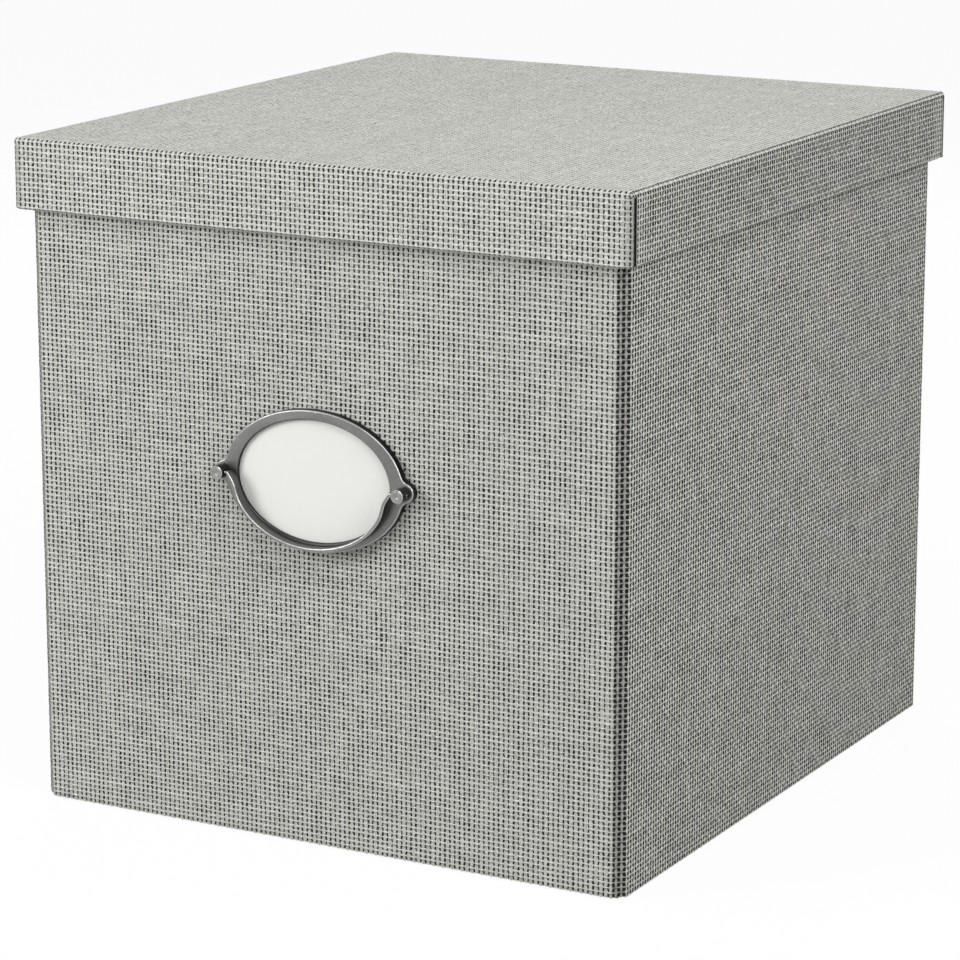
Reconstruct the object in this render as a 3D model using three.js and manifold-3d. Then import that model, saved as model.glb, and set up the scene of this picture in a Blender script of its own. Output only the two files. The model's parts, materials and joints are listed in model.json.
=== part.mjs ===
// Lidded storage box of fabric-covered paperboard, with a metal label holder and a bail pull on its front.
// Millimetres. X is the width, the front faces -Y, Z is up, and the origin is the middle of the underside.
import * as THREE from "three";
import { mergeVertices } from "three/addons/utils/BufferGeometryUtils.js";
import Module from "manifold-3d";

const wasm = await Module();
wasm.setup();

// Overall sizes of the closed box
const lidWidth = 320;
const lidDepth = 350;
const overallHeight = 320;
const rimHeight = 33.5;

// Sheet materials
const fabricThickness = 0.8;
const wallBoardThickness = 2.5;
const lidBoardThickness = 2.5;
const rimBoardThickness = 2;
const liningThickness = 0.5;
const undersideThickness = 0.5;
const insertThickness = 3;
const tapeThickness = 0.4;

// Folds and margins of the body
const cornerStripLeg = 5;
const topTurnIn = 20;
const underTurnIn = 15;
const undersideInset = 4;

// Folds and margins of the lid
const lidEdgeRadius = 2;
const lidCornerRadius = 1.2;
const rimSlitWidth = 1.2;
const rimSlitTopGap = 4;
const tapeLeg = 18;
const tapeHeight = 25;

// Running clearances
const lidClearance = 0.9;
const seatGap = 0.3;
const boardEndGap = 0.3;
const shankClearance = 0.3;
const pinClearance = 0.3;
const cardClearance = 0.35;
const insertClearance = 0.5;

// Label frame
const holderHeight = 175;
const frameHalfWidth = 46.9;
const frameHalfHeight = 32.9;
const ringSideWidth = 6.9;
const ringTopWidth = 4.5;
const frameStandOff = 4;
const framePlateThickness = 1.5;
const frameSkirtThickness = 1.5;
const frameEdgeRadius = 0.8;
const windowEdgeChamfer = 0.3;
const earOffset = 0.6;
const earMargin = 1.45;
const earFilletRadius = 5;

// Card
const cardThickness = 0.5;

// Pivot posts and their washers
const postRadius = 3.25;
const postHeight = 7;
const postEdgeRound = 0.3;
const postRingRadius = 2.3;
const postRingWidth = 0.4;
const postRingDepth = 0.15;
const postDimpleRadius = 0.6;
const postDimpleDepth = 0.35;
const shankRadius = 1.7;
const rivetHeadRadius = 3;
const rivetHeadHeight = 1;
const washerRadius = 5;
const washerThickness = 0.8;

// Bail pull
const bailFrameGap = 0.9;
const bailInset = 2.3;
const bailDrop = 1.1;
const bailDepth = 4.6;
const bailThickness = 1.7;
const bailEdgeRadius = 0.7;
const bailPostGap = 0.4;
const bailFlareDrop = 1.8;
const bailFlareRun = 2.4;
const bailShoulderRun = 1.4;
const bailEndFrontRadius = 0.7;
const bailEndBackRadius = 2.2;
const pinRadius = 0.95;
const pinProtrusion = 0.65;

// Facets and cutting
const overrun = 1;
const ovalSegments = 96;
const cornerSegments = 5;
const filletSegments = 8;
const holeSegments = 24;
const postSegments = 36;
const bailSteps = 72;
const bailArcPoints = 13;
const searchSteps = 40;

// Sizes worked out from the ones above
const rimThickness = rimBoardThickness + 2 * fabricThickness;
const bodyWidth = lidWidth - 2 * (rimThickness + lidClearance);
const bodyDepth = lidDepth - 2 * (rimThickness + lidClearance);
const rimInnerX = lidWidth / 2 - rimThickness;
const rimInnerY = lidDepth / 2 - rimThickness;
const sideRimEnd = rimInnerY - rimSlitWidth;
const lidBoardTop = overallHeight - fabricThickness;
const lidBoardBottom = lidBoardTop - lidBoardThickness;
const lidUnderside = lidBoardBottom - liningThickness;
const bodyHeight = lidUnderside - seatGap;
const rimBottom = overallHeight - rimHeight;
const rimBoardBottom = rimBottom + fabricThickness;
const coverBottom = undersideThickness;
const boardBottom = coverBottom + fabricThickness;
const boardTop = bodyHeight - fabricThickness;
const floorTop = boardBottom + wallBoardThickness;
const liningFloorTop = floorTop + liningThickness;
const turnInBottom = bodyHeight - topTurnIn;
const boardOuterInset = fabricThickness;
const boardInnerInset = boardOuterInset + wallBoardThickness;
const boardEndInset = cornerStripLeg + fabricThickness * Math.tan(Math.PI / 8) + boardEndGap;
const turnInInset = boardInnerInset + fabricThickness;
const wallThickness = boardInnerInset + liningThickness;
const postX = frameHalfWidth + earOffset;
const earRadius = postRadius + earMargin;
const windowHalfWidth = frameHalfWidth - ringSideWidth;
const windowHalfHeight = frameHalfHeight - ringTopWidth;
const cavityHalfWidth = frameHalfWidth - frameSkirtThickness;
const cavityHalfHeight = frameHalfHeight - frameSkirtThickness;
const cardHalfWidth = cavityHalfWidth - cardClearance;
const cardHalfHeight = cavityHalfHeight - cardClearance;
const framePlateBack = frameStandOff - framePlateThickness;
const cardFront = framePlateBack - cardClearance;
const cardBack = cardFront - cardThickness;
const cardSlotBottom = cardBack - cardClearance;
const pivotStandOff = frameStandOff + bailFrameGap + bailDepth / 2;
const bailEndX = postX - postRadius - bailPostGap;
const bailShoulderX = bailEndX - bailFlareRun;
const bailHalfWidth = bailShoulderX - bailShoulderRun;
const bailHalfHeight = frameHalfHeight - bailInset - bailDrop;
const rivetStackDepth = wallThickness + washerThickness;

// Finishes: colour, roughness and metalness of each material
const finishes = {
  weave: { color: 0xb9bab4, roughness: 0.9, metalness: 0 },
  board: { color: 0x9a958b, roughness: 0.95, metalness: 0 },
  lining: { color: 0x8e8f8b, roughness: 0.95, metalness: 0 },
  tape: { color: 0x1c1c1b, roughness: 0.8, metalness: 0 },
  card: { color: 0xedeeea, roughness: 0.85, metalness: 0 },
  gunmetal: { color: 0x767873, roughness: 0.38, metalness: 0.85 },
  steel: { color: 0xa9aaa8, roughness: 0.35, metalness: 1 },
};

// A closed geometry as a solid that can be joined and cut
function solidOf(geometry) {
  const bare = geometry.clone();
  bare.deleteAttribute("normal");
  bare.deleteAttribute("uv");
  const merged = mergeVertices(bare);
  return new wasm.Manifold(
    new wasm.Mesh({
      numProp: 3,
      vertProperties: new Float32Array(merged.attributes.position.array),
      triVerts: new Uint32Array(merged.index.array),
    }),
  );
}

// The solid back as a geometry with flat-shaded faces
function geometryOf(solid) {
  const mesh = solid.getMesh();
  const indexed = new THREE.BufferGeometry();
  indexed.setAttribute("position", new THREE.BufferAttribute(mesh.vertProperties, mesh.numProp));
  indexed.setIndex(new THREE.BufferAttribute(mesh.triVerts, 1));
  const flat = indexed.toNonIndexed();
  flat.computeVertexNormals();
  return flat;
}

// A block between two opposite corners, given in any order
function block(a, b) {
  const size = [0, 1, 2].map((i) => Math.abs(b[i] - a[i]));
  const middle = [0, 1, 2].map((i) => (a[i] + b[i]) / 2);
  return solidOf(new THREE.BoxGeometry(...size).translate(...middle));
}

// A prism of an outline in XY between two heights
function prism(shape, low, high) {
  const options = { depth: high - low, bevelEnabled: false, steps: 1 };
  return solidOf(new THREE.ExtrudeGeometry(shape, options).translate(0, 0, low));
}

function shapeOf(points) {
  return new THREE.Shape(points.map(([x, y]) => new THREE.Vector2(x, y)));
}

// A rectangle about the middle whose corners are cut at 45 degrees, by its half sizes and the leg of the cut
function cutCornerRectangle(x, y, leg) {
  return shapeOf([
    [x, leg - y],
    [x, y - leg],
    [x - leg, y],
    [leg - x, y],
    [-x, y - leg],
    [-x, leg - y],
    [leg - x, -y],
    [x - leg, -y],
  ]);
}

// The outline of the body at a distance inside its outer face
function bodyOutline(inset) {
  const leg = cornerStripLeg - inset * (2 - Math.SQRT2);
  return cutCornerRectangle(bodyWidth / 2 - inset, bodyDepth / 2 - inset, leg);
}

function ellipsePoints(halfWidth, halfHeight) {
  const points = [];
  for (let i = 0; i < ovalSegments; i += 1) {
    const angle = (2 * Math.PI * i) / ovalSegments;
    points.push([halfWidth * Math.cos(angle), halfHeight * Math.sin(angle)]);
  }
  return points;
}

function arcPoints(centre, radius, from, to, segments) {
  const points = [];
  for (let i = 0; i <= segments; i += 1) {
    const angle = from + ((to - from) * i) / segments;
    points.push([centre[0] + radius * Math.cos(angle), centre[1] + radius * Math.sin(angle)]);
  }
  return points;
}

// Two holes or rods along Y, at the places of the posts, in the part's own frame
function postHoles(radius) {
  const rod = new THREE.CylinderGeometry(radius, radius, wallThickness + 2 * overrun, holeSegments);
  const y = (wallThickness - bodyDepth) / 2;
  const left = solidOf(rod.clone().translate(-postX, y, holderHeight));
  const right = solidOf(rod.clone().translate(postX, y, holderHeight));
  return left.add(right);
}

// Body: the wall boards stand on the turned-under fabric and stop short of the fabric hinges at the corners
function wallAcross(side) {
  const x = bodyWidth / 2 - boardEndInset;
  const outer = side * (bodyDepth / 2 - boardOuterInset);
  const inner = side * (bodyDepth / 2 - boardInnerInset);
  return block([-x, outer, boardBottom], [x, inner, boardTop]);
}

function frontWallBoard() {
  return wallAcross(-1).subtract(postHoles(shankRadius + shankClearance));
}

function wallAlong(side) {
  const y = bodyDepth / 2 - boardEndInset;
  const outer = side * (bodyWidth / 2 - boardOuterInset);
  const inner = side * (bodyWidth / 2 - boardInnerInset);
  return block([outer, -y, boardBottom], [inner, y, boardTop]);
}

function bottomBoard() {
  const x = bodyWidth / 2 - boardInnerInset;
  const y = bodyDepth / 2 - boardInnerInset;
  return block([-x, -y, boardBottom], [x, y, floorTop]);
}

// The woven cover: outside skin, turn-in over the top edge and down the inside, turn-under below the base
function bodyFabricCover() {
  const above = bodyHeight + overrun;
  const underX = bodyWidth / 2 - underTurnIn;
  const underY = bodyDepth / 2 - underTurnIn;
  const boardSlot = prism(bodyOutline(boardOuterInset), boardBottom, boardTop).subtract(
    prism(bodyOutline(boardInnerInset), turnInBottom, above),
  );
  return prism(bodyOutline(0), coverBottom, bodyHeight)
    .subtract(boardSlot)
    .subtract(prism(bodyOutline(turnInInset), boardBottom, above))
    .subtract(block([-underX, -underY, 0], [underX, underY, boardBottom + overrun]))
    .subtract(postHoles(shankRadius + shankClearance));
}

function innerLining() {
  const top = turnInBottom - seatGap;
  return prism(bodyOutline(boardInnerInset), floorTop, top)
    .subtract(prism(bodyOutline(wallThickness), liningFloorTop, top + overrun))
    .subtract(postHoles(shankRadius + shankClearance));
}

function undersideSheet() {
  const x = bodyWidth / 2 - undersideInset;
  const y = bodyDepth / 2 - undersideInset;
  return block([-x, -y, 0], [x, y, undersideThickness]);
}

// The loose floor panel clears the rivets on the inside of the front wall as it lifts
function baseInsert() {
  const x = bodyWidth / 2 - turnInInset - insertClearance;
  const y = bodyDepth / 2 - rivetStackDepth - rivetHeadHeight - insertClearance;
  const low = liningFloorTop + seatGap;
  return prism(cutCornerRectangle(x, y, cornerStripLeg), low, low + insertThickness);
}

// Lid: the front and back rims run the full width, and the side rims stand between them
function lidTopBoard() {
  const x = lidWidth / 2 - fabricThickness;
  const y = lidDepth / 2 - fabricThickness;
  return block([-x, -y, lidBoardBottom], [x, y, lidBoardTop]);
}

function rimAcross(side) {
  const x = lidWidth / 2 - fabricThickness;
  const outer = side * (lidDepth / 2 - fabricThickness);
  const inner = side * (rimInnerY + fabricThickness);
  return block([-x, outer, rimBoardBottom], [x, inner, lidBoardBottom]);
}

function rimAlong(side) {
  const y = sideRimEnd - fabricThickness;
  const outer = side * (lidWidth / 2 - fabricThickness);
  const inner = side * (rimInnerX + fabricThickness);
  return block([outer, -y, rimBoardBottom], [inner, y, lidBoardBottom]);
}

// A flat-based profile whose two upper corners are rounded, centred on X and measured up from zero
function roundedTopProfile(width, height, radius) {
  const x = width / 2 - radius;
  const y = height - radius;
  return shapeOf([
    [-width / 2, 0],
    [width / 2, 0],
    ...arcPoints([x, y], radius, 0, Math.PI / 2, cornerSegments),
    ...arcPoints([-x, y], radius, Math.PI / 2, Math.PI, cornerSegments),
  ]);
}

function roundedRectangle(width, depth, radius) {
  const x = width / 2 - radius;
  const y = depth / 2 - radius;
  const quarter = Math.PI / 2;
  return shapeOf([
    ...arcPoints([x, y], radius, 0, quarter, cornerSegments),
    ...arcPoints([-x, y], radius, quarter, 2 * quarter, cornerSegments),
    ...arcPoints([-x, -y], radius, 2 * quarter, 3 * quarter, cornerSegments),
    ...arcPoints([x, -y], radius, 3 * quarter, 4 * quarter, cornerSegments),
  ]);
}

// The lid's outer form, with rounded top edges that meet in a mitre at each corner
function lidForm() {
  const frontView = new THREE.ExtrudeGeometry(roundedTopProfile(lidWidth, rimHeight, lidEdgeRadius), {
    depth: lidDepth,
    bevelEnabled: false,
  })
    .rotateX(Math.PI / 2)
    .translate(0, lidDepth / 2, rimBottom);
  const sideView = new THREE.ExtrudeGeometry(roundedTopProfile(lidDepth, rimHeight, lidEdgeRadius), {
    depth: lidWidth,
    bevelEnabled: false,
  })
    .rotateX(Math.PI / 2)
    .rotateZ(Math.PI / 2)
    .translate(-lidWidth / 2, 0, rimBottom);
  const plan = prism(
    roundedRectangle(lidWidth, lidDepth, lidCornerRadius),
    rimBottom,
    overallHeight,
  );
  return plan.intersect(solidOf(frontView)).intersect(solidOf(sideView));
}

// The lid's woven cover wraps each rim inside and out, and is slit where two rims meet
function lidFabricCover() {
  const below = rimBottom - overrun;
  const inside = block([-rimInnerX, -rimInnerY, below], [rimInnerX, rimInnerY, lidBoardBottom]);
  let cover = lidForm().subtract(inside);
  const boards = [lidTopBoard(), rimAcross(-1), rimAcross(1), rimAlong(-1), rimAlong(1)];
  for (const board of boards) {
    cover = cover.subtract(board);
  }
  for (const sideX of [-1, 1]) {
    for (const sideY of [-1, 1]) {
      const slit = block(
        [sideX * rimInnerX, sideY * rimInnerY, below],
        [sideX * (lidWidth / 2 + overrun), sideY * sideRimEnd, overallHeight - rimSlitTopGap],
      );
      cover = cover.subtract(slit);
    }
  }
  return cover;
}

function lidLining() {
  return block([-rimInnerX, -rimInnerY, lidUnderside], [rimInnerX, rimInnerY, lidBoardBottom]);
}

// An angle of tape in a corner of the rim, behind the slit
function lidCornerTape(sideX, sideY) {
  const top = lidUnderside - seatGap;
  const low = top - tapeHeight;
  const across = block(
    [sideX * (rimInnerX - tapeLeg), sideY * rimInnerY, low],
    [sideX * rimInnerX, sideY * (rimInnerY - tapeThickness), top],
  );
  const along = block(
    [sideX * rimInnerX, sideY * rimInnerY, low],
    [sideX * (rimInnerX - tapeThickness), sideY * (rimInnerY - tapeLeg), top],
  );
  return across.add(along);
}

// The label holder's pieces lie in its own frame: X across, Y up, Z out of the front, zero on the fabric

// How far a point is from the frame's ellipse, negative inside it, and the ellipse's angle nearest to it
function gapToFrameOval(x, y) {
  let low = 0;
  let high = Math.PI / 2;
  for (let i = 0; i < searchSteps; i += 1) {
    const middle = (low + high) / 2;
    const dx = x - frameHalfWidth * Math.cos(middle);
    const dy = y - frameHalfHeight * Math.sin(middle);
    const along = dy * frameHalfHeight * Math.cos(middle) - dx * frameHalfWidth * Math.sin(middle);
    if (along > 0) {
      low = middle;
    } else {
      high = middle;
    }
  }
  const dx = x - frameHalfWidth * Math.cos(low);
  const dy = y - frameHalfHeight * Math.sin(low);
  const outside = Math.hypot(x / frameHalfWidth, y / frameHalfHeight) > 1;
  return { gap: outside ? Math.hypot(dx, dy) : -Math.hypot(dx, dy), angle: low };
}

// The fillet that touches both the ear's circle and the oval, by the angle of its centre seen from the ear
function earFillet() {
  const reach = earRadius + earFilletRadius;
  let low = Math.PI / 4;
  let high = Math.PI;
  for (let i = 0; i < searchSteps; i += 1) {
    const middle = (low + high) / 2;
    const { gap } = gapToFrameOval(postX + reach * Math.cos(middle), reach * Math.sin(middle));
    if (gap > earFilletRadius) {
      low = middle;
    } else {
      high = middle;
    }
  }
  const centre = [postX + reach * Math.cos(low), reach * Math.sin(low)];
  return { centre, earAngle: low, ovalAngle: gapToFrameOval(...centre).angle };
}

// A quarter of the outline from the tip of the ear to the top of the oval, mirrored into all four
function frameOutline() {
  const { centre, earAngle, ovalAngle } = earFillet();
  const touch = [frameHalfWidth * Math.cos(ovalAngle), frameHalfHeight * Math.sin(ovalAngle)];
  const filletEnd = Math.atan2(touch[1] - centre[1], touch[0] - centre[0]);
  const filletStart = earAngle + Math.PI;
  const filletTurn = filletEnd < 0 ? filletEnd + 2 * Math.PI : filletEnd;
  const ovalSteps = ovalSegments / 4;
  const quarter = [
    ...arcPoints([postX, 0], earRadius, 0, earAngle, filletSegments),
    ...arcPoints(centre, earFilletRadius, filletStart, filletTurn, filletSegments).slice(1),
  ];
  for (let i = 1; i <= ovalSteps; i += 1) {
    const angle = ovalAngle + ((Math.PI / 2 - ovalAngle) * i) / ovalSteps;
    quarter.push([frameHalfWidth * Math.cos(angle), frameHalfHeight * Math.sin(angle)]);
  }
  const inner = quarter.slice(1, -1);
  const upperLeft = inner.map(([x, y]) => [-x, y]).reverse();
  const lowerLeft = inner.map(([x, y]) => [-x, -y]);
  const lowerRight = inner.map(([x, y]) => [x, -y]).reverse();
  return [
    ...quarter,
    ...upperLeft,
    [-postX - earRadius, 0],
    ...lowerLeft,
    [0, -frameHalfHeight],
    ...lowerRight,
  ];
}

// The frame: a plate with a skirt, open behind, whose upper skirt is slotted under the plate to let the card in
function labelFrame() {
  const blank = new THREE.ExtrudeGeometry(shapeOf(frameOutline()), {
    depth: frameStandOff - frameEdgeRadius,
    bevelEnabled: true,
    bevelThickness: frameEdgeRadius,
    bevelSize: frameEdgeRadius,
    bevelOffset: -frameEdgeRadius,
    bevelSegments: cornerSegments,
    steps: 1,
  });
  const x = postX + earRadius + overrun;
  const y = frameHalfHeight + overrun;
  const cavity = shapeOf(ellipsePoints(cavityHalfWidth, cavityHalfHeight));
  const windowShape = shapeOf(ellipsePoints(windowHalfWidth, windowHalfHeight));
  const windowEdge = new THREE.ExtrudeGeometry(windowShape, {
    depth: overrun,
    bevelEnabled: true,
    bevelThickness: windowEdgeChamfer,
    bevelSize: windowEdgeChamfer,
    bevelSegments: 1,
    steps: 1,
  }).translate(0, 0, frameStandOff);
  return solidOf(blank)
    .subtract(block([-x, -y, -overrun], [x, y, 0]))
    .subtract(prism(cavity, -overrun, framePlateBack))
    .subtract(prism(windowShape, 0, frameStandOff + overrun))
    .subtract(solidOf(windowEdge))
    .subtract(block([-cavityHalfWidth, 0, cardSlotBottom], [cavityHalfWidth, y, framePlateBack]))
    .subtract(shankHole(-postX))
    .subtract(shankHole(postX));
}

function shankHole(x) {
  const radius = shankRadius + shankClearance;
  const hole = new THREE.CylinderGeometry(radius, radius, frameStandOff + 2 * overrun, holeSegments);
  return solidOf(hole.rotateX(Math.PI / 2).translate(x, 0, frameStandOff / 2));
}

function labelCard() {
  const outline = shapeOf(ellipsePoints(cardHalfWidth, cardHalfHeight));
  return prism(outline, cardBack, cardFront);
}

// A turned post: rivet head inside the wall, shank through it, body on the ear, ringed and dimpled face
function pivotPost(x) {
  const face = frameStandOff + postHeight;
  const tail = -rivetStackDepth;
  const ringInner = postRingRadius - postRingWidth / 2;
  const ringOuter = postRingRadius + postRingWidth / 2;
  const profile = [
    [0, tail - rivetHeadHeight],
    [rivetHeadRadius - rivetHeadHeight, tail - rivetHeadHeight],
    [rivetHeadRadius, tail - rivetHeadHeight / 2],
    [rivetHeadRadius, tail],
    [shankRadius, tail],
    [shankRadius, frameStandOff],
    [postRadius, frameStandOff],
    [postRadius, face - postEdgeRound],
    [postRadius - postEdgeRound, face],
    [ringOuter, face],
    [postRingRadius, face - postRingDepth],
    [ringInner, face],
    [postDimpleRadius, face],
    [0, face - postDimpleDepth],
  ];
  const turned = new THREE.LatheGeometry(
    profile.map(([r, z]) => new THREE.Vector2(r, z)),
    postSegments,
  );
  const holeRadius = pinRadius + pinClearance;
  const length = 2 * (postRadius + overrun);
  const crossHole = new THREE.CylinderGeometry(holeRadius, holeRadius, length, holeSegments);
  return solidOf(turned.rotateX(Math.PI / 2).translate(x, 0, 0)).subtract(
    solidOf(crossHole.rotateZ(Math.PI / 2).translate(x, 0, pivotStandOff)),
  );
}

function backingWasher(x) {
  const bore = shankRadius + shankClearance;
  const low = -rivetStackDepth;
  const high = -wallThickness;
  const profile = [
    [bore, low],
    [washerRadius, low],
    [washerRadius, high],
    [bore, high],
    [bore, low],
  ];
  const turned = new THREE.LatheGeometry(
    profile.map(([r, z]) => new THREE.Vector2(r, z)),
    postSegments,
  );
  return solidOf(turned.rotateX(Math.PI / 2).translate(x, 0, 0));
}

// The bail's centre line: a flare out to each post, and a half ellipse between them
function bailPath() {
  const start = Math.asin((2 * bailFlareDrop) / bailHalfHeight);
  const arc = [];
  for (let i = 0; i < bailArcPoints; i += 1) {
    const angle = start + ((Math.PI - 2 * start) * i) / (bailArcPoints - 1);
    const x = -bailHalfWidth * Math.cos(angle);
    const y = -bailDrop - bailHalfHeight * Math.sin(angle);
    arc.push(new THREE.Vector3(x, y, pivotStandOff));
  }
  return new THREE.CatmullRomCurve3([
    new THREE.Vector3(-bailEndX - overrun, bailThickness + overrun, pivotStandOff),
    new THREE.Vector3(-bailShoulderX, -bailFlareDrop, pivotStandOff),
    ...arc,
    new THREE.Vector3(bailShoulderX, -bailFlareDrop, pivotStandOff),
    new THREE.Vector3(bailEndX + overrun, bailThickness + overrun, pivotStandOff),
  ]);
}

// The bail seen from the side, from below it to the ends above the pins, which are rounded off more behind
function bailSideView() {
  const back = pivotStandOff - bailDepth / 2;
  const front = pivotStandOff + bailDepth / 2;
  const low = -frameHalfHeight - overrun;
  const quarter = Math.PI / 2;
  const backCentre = [back + bailEndBackRadius, pinRadius - bailEndBackRadius];
  const frontCentre = [front - bailEndFrontRadius, pinRadius - bailEndFrontRadius];
  return shapeOf([
    [back, low],
    [front, low],
    ...arcPoints(frontCentre, bailEndFrontRadius, 0, quarter, filletSegments),
    ...arcPoints(backCentre, bailEndBackRadius, quarter, 2 * quarter, filletSegments),
  ]);
}

// The band is deep across the wall's normal and thin in its own plane, with a pin at each end through the post
function pullHandle() {
  const section = roundedRectangle(bailDepth, bailThickness, bailEdgeRadius);
  const band = new THREE.ExtrudeGeometry(section, {
    steps: bailSteps,
    bevelEnabled: false,
    extrudePath: bailPath(),
  });
  const limits = new THREE.ExtrudeGeometry(bailSideView(), {
    depth: 2 * bailEndX,
    bevelEnabled: false,
  });
  limits.rotateY(-Math.PI / 2).translate(bailEndX, 0, 0);
  let handle = solidOf(band).intersect(solidOf(limits));
  const pinStart = (bailShoulderX + bailEndX) / 2;
  const pinEnd = postX + postRadius + pinProtrusion;
  for (const side of [-1, 1]) {
    const pin = new THREE.CylinderGeometry(pinRadius, pinRadius, pinEnd - pinStart, holeSegments);
    const pinMiddle = (side * (pinEnd + pinStart)) / 2;
    handle = handle.add(solidOf(pin.rotateZ(Math.PI / 2).translate(pinMiddle, 0, pivotStandOff)));
  }
  return handle;
}

// The assembly
function addPiece(group, name, solid, finish) {
  const mesh = new THREE.Mesh(geometryOf(solid), new THREE.MeshStandardMaterial(finishes[finish]));
  mesh.name = name;
  group.add(mesh);
}

const storageBox = new THREE.Group();

const body = new THREE.Group();
storageBox.add(body);
addPiece(body, "front_wall_board", frontWallBoard(), "board");
addPiece(body, "back_wall_board", wallAcross(1), "board");
addPiece(body, "left_wall_board", wallAlong(-1), "board");
addPiece(body, "right_wall_board", wallAlong(1), "board");
addPiece(body, "bottom_board", bottomBoard(), "board");
addPiece(body, "body_fabric_cover", bodyFabricCover(), "weave");
addPiece(body, "inner_lining", innerLining(), "lining");
addPiece(body, "underside_sheet", undersideSheet(), "lining");
addPiece(body, "base_insert", baseInsert(), "lining");

const lid = new THREE.Group();
storageBox.add(lid);
addPiece(lid, "lid_top_board", lidTopBoard(), "board");
addPiece(lid, "lid_front_rim_board", rimAcross(-1), "board");
addPiece(lid, "lid_back_rim_board", rimAcross(1), "board");
addPiece(lid, "lid_left_rim_board", rimAlong(-1), "board");
addPiece(lid, "lid_right_rim_board", rimAlong(1), "board");
addPiece(lid, "lid_fabric_cover", lidFabricCover(), "weave");
addPiece(lid, "lid_lining", lidLining(), "lining");
addPiece(lid, "lid_corner_tape_front_left", lidCornerTape(-1, -1), "tape");
addPiece(lid, "lid_corner_tape_front_right", lidCornerTape(1, -1), "tape");
addPiece(lid, "lid_corner_tape_back_left", lidCornerTape(-1, 1), "tape");
addPiece(lid, "lid_corner_tape_back_right", lidCornerTape(1, 1), "tape");

const holder = new THREE.Group();
holder.position.set(0, -bodyDepth / 2, holderHeight);
holder.rotation.x = Math.PI / 2;
storageBox.add(holder);
addPiece(holder, "label_frame", labelFrame(), "gunmetal");
addPiece(holder, "label_card", labelCard(), "card");
addPiece(holder, "left_pivot_post", pivotPost(-postX), "gunmetal");
addPiece(holder, "right_pivot_post", pivotPost(postX), "gunmetal");
addPiece(holder, "left_backing_washer", backingWasher(-postX), "steel");
addPiece(holder, "right_backing_washer", backingWasher(postX), "steel");
addPiece(holder, "pull_handle", pullHandle(), "gunmetal");

export default storageBox;
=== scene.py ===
"""Looks of a cloth-covered storage box with a lift-off lid and a metal label holder, around its CAD frame.

Metres in the frame of the part. Lengths below are written in millimetres and turned to metres by MM.
The cloth is made as relief: every yarn of the plain weave is a ridge in the mesh, and the gaps are pits.
Its map LATTICE_MAP has one unit square for each crossing of two yarns, with the gaps at whole numbers.
Two marks on the mesh steer its colour. One goes from closed gaps below zero, over the plain weave at zero, to
wide slots at one, and on the side walls its wide dark slots and lighter yarns are painted shade and light.
SHADE is painted light and shade, from lighter below zero to black at one.
"""
import json
import math

import bmesh
import bpy
import numpy as np
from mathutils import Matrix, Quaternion, Vector


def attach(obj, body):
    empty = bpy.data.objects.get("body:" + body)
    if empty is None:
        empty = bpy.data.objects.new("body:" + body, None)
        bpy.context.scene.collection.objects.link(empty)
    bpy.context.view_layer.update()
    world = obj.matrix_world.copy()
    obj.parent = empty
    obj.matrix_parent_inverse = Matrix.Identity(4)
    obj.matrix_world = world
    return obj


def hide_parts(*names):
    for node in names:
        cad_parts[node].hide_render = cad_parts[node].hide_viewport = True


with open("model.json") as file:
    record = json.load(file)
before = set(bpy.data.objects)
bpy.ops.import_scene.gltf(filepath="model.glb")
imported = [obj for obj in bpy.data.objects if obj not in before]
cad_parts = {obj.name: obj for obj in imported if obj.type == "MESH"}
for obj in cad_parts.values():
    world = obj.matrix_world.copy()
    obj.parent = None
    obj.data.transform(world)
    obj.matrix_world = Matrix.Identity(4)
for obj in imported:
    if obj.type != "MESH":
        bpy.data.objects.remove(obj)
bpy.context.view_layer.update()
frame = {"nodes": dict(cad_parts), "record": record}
nodes = frame["nodes"]

MM = 0.001
LATTICE_MAP = "weave"
BAKE_MAP = "OFBake"
SLOTS_AND_PAINTED_LIGHT = "slots_and_painted_light"
SHADE = "shade"
TINY = 1e-9

# Sizes of the box, as in the CAD source
LID_WIDTH = 320.0
LID_DEPTH = 350.0
OVERALL_HEIGHT = 320.0
RIM_BOTTOM = 286.5
RIM_THICKNESS = 3.6
SIDE_RIM_FRONT = 170.0
SIDE_RIM_BACK = 171.0
LID_SEAM_HEIGHT = 317.6
LID_SEAM_INSIDE = 316.0
LID_EDGE_RADIUS = 2.0
LID_CORNER_RADIUS = 2.1
BODY_WIDTH = 311.0
BODY_DEPTH = 341.0
BODY_LOW = 0.5
BODY_TOP = 315.9
CORNER_LEG = 5.0
CLOTH_THICKNESS = 0.8
FOLD_RADIUS = 1.2
TURN_IN_INSET = 4.1
TURN_IN_BOTTOM = 295.9
TURN_UNDER = 15.0
HOLDER_HEIGHT = 175.0
HOLDER_FRONT = -175.0

# The weave's mesh: spacing of the yarns, half of each yarn's width as a share of it, relief and wide slots;
# the side walls' wide slots and lighter yarns in the colour are painted shade and light
UPRIGHT_PITCH = 2.53
LEVEL_PITCH = 2.38
UPRIGHT_HALF = 0.33
LEVEL_HALF = 0.155
SIDE_UPRIGHT_HALF = 0.26
CORNER_YARN_HALF = 0.21
# The side walls' wide slots: painted shade on the yarns' flanks and painted light on the yarns
SIDE_PAINTED_SLOTS_AND_LIGHT = 1.0
UPRIGHT_CREST = 0.06
UPRIGHT_WAVE = 0.07
LEVEL_CREST = 0.03
LEVEL_WAVE = 0.2
GAP_DEPTH = 0.17
TOP_RELIEF = 0.45
TOP_SLOT_SHARE = -0.42
SPACING_JITTER = 0.1
SURFACE_JITTER = 0.045

# The strips of cloth at the body's corners, with distances from the corner in yarns; STRIP_SHADE is painted
# shade on them
STRIP_END = 1.36
STRIP_FADE = 0.3
STRIP_SHADE = 0.43
CORNER_SAG = 0.35
SAG_END = 1.7
SAG_FADE = 1.2
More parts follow.
